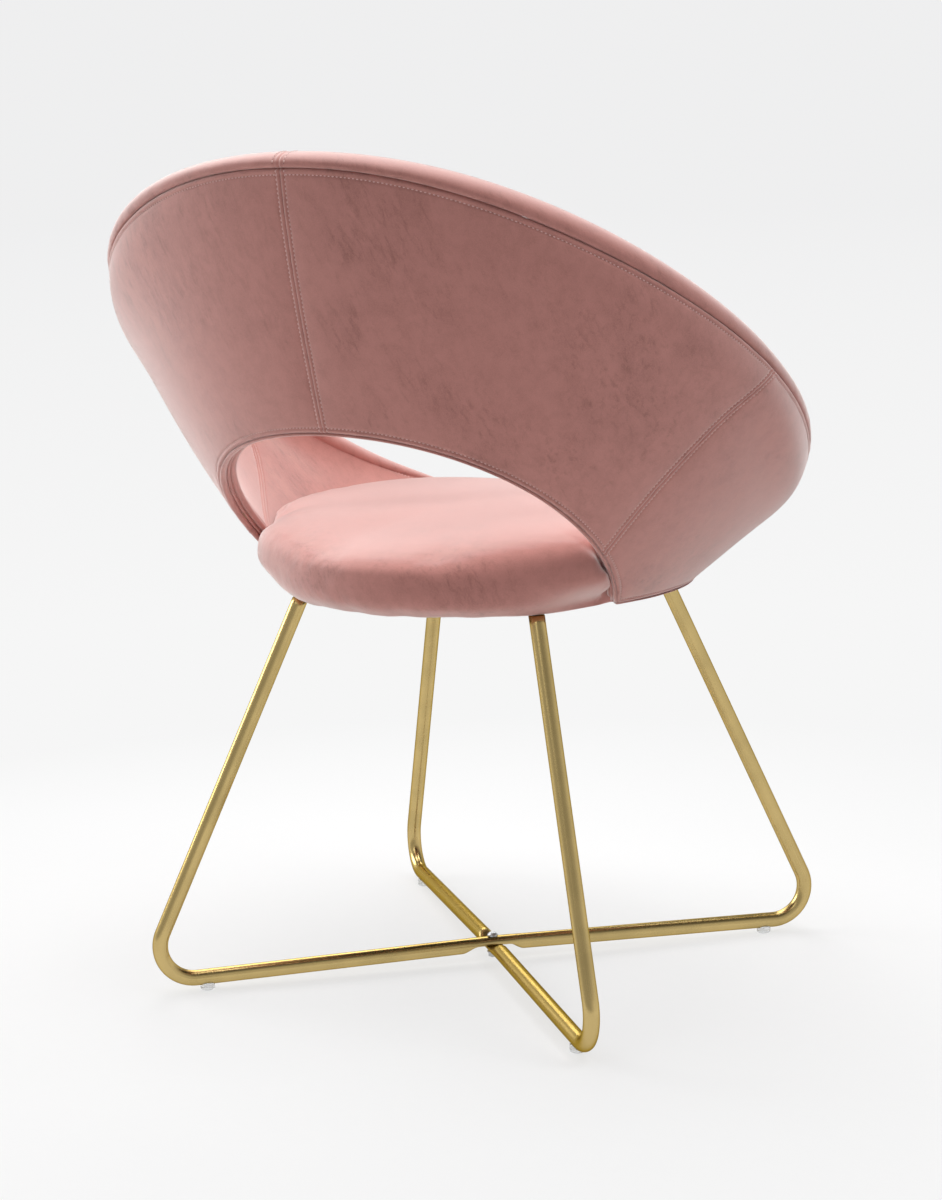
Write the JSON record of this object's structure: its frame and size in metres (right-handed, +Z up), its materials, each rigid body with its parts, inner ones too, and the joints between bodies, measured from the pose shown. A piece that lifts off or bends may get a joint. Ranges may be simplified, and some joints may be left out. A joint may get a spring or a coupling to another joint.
{
  "type": "open-backed accent chair",
  "caption": "Round scooped upholstered chair with a rolled rim, a crescent opening above the padded seat, and a crossed bent-tube base.",
  "frame": {"origin": "on the floor, below the middle of the chair's overall width and depth", "axes": "+Z up; the sitter faces -Y, so the back is at +Y; +X is the sitter's left"},
  "size_m": [0.7026, 0.6234, 0.8518],
  "materials": {
    "rose_velvet": "dusty-rose short-pile velvet",
    "rose_piping": "covered piping cord",
    "gold_tube": "satin gold plating on bent steel tube",
    "zinc_steel": "zinc-plated fasteners",
    "clear_plastic": "clear soft plastic",
    "plywood": "raw plywood",
    "foam": "upholstery foam",
    "dust_cloth": "non-woven dust cloth"
  },
  "bodies": {
    "root": {"cross_bolt": "zinc_steel", "cross_nut": "zinc_steel", "cross_washer": "zinc_steel", "dust_cover": "dust_cloth", "glide_back_left": "clear_plastic", "glide_back_right": "clear_plastic", "glide_front_left": "clear_plastic", "glide_front_right": "clear_plastic", "inner_cover": "rose_velvet", "leg_frame_lower": "gold_tube", "leg_frame_upper": "gold_tube", "leg_plate_back_left": "gold_tube", "leg_plate_back_right": "gold_tube", "leg_plate_front_left": "gold_tube", "leg_plate_front_right": "gold_tube", "opening_binding": "rose_velvet", "opening_welt": "rose_piping", "outer_cover_arm_left": "rose_velvet", "outer_cover_arm_right": "rose_velvet", "outer_cover_back_left": "rose_velvet", "outer_cover_back_right": "rose_velvet", "plate_bolt_back_left_1": "zinc_steel", "plate_bolt_back_left_2": "zinc_steel", "plate_bolt_back_right_1": "zinc_steel", "plate_bolt_back_right_2": "zinc_steel", "plate_bolt_front_left_1": "zinc_steel", "plate_bolt_front_left_2": "zinc_steel", "plate_bolt_front_right_1": "zinc_steel", "plate_bolt_front_right_2": "zinc_steel", "rim_roll": "rose_velvet", "seat_board": "plywood", "seat_cover": "rose_velvet", "seat_foam": "foam", "shell_core": "plywood", "shell_foam": "foam", "shell_screw_1": "zinc_steel", "shell_screw_2": "zinc_steel", "shell_screw_3": "zinc_steel", "shell_screw_4": "zinc_steel", "shell_screw_5": "zinc_steel", "shell_screw_6": "zinc_steel", "tee_nut_back_left_1": "zinc_steel", "tee_nut_back_left_2": "zinc_steel", "tee_nut_back_right_1": "zinc_steel", "tee_nut_back_right_2": "zinc_steel", "tee_nut_front_left_1": "zinc_steel", "tee_nut_front_left_2": "zinc_steel", "tee_nut_front_right_1": "zinc_steel", "tee_nut_front_right_2": "zinc_steel"}
  },
  "joints": []
}
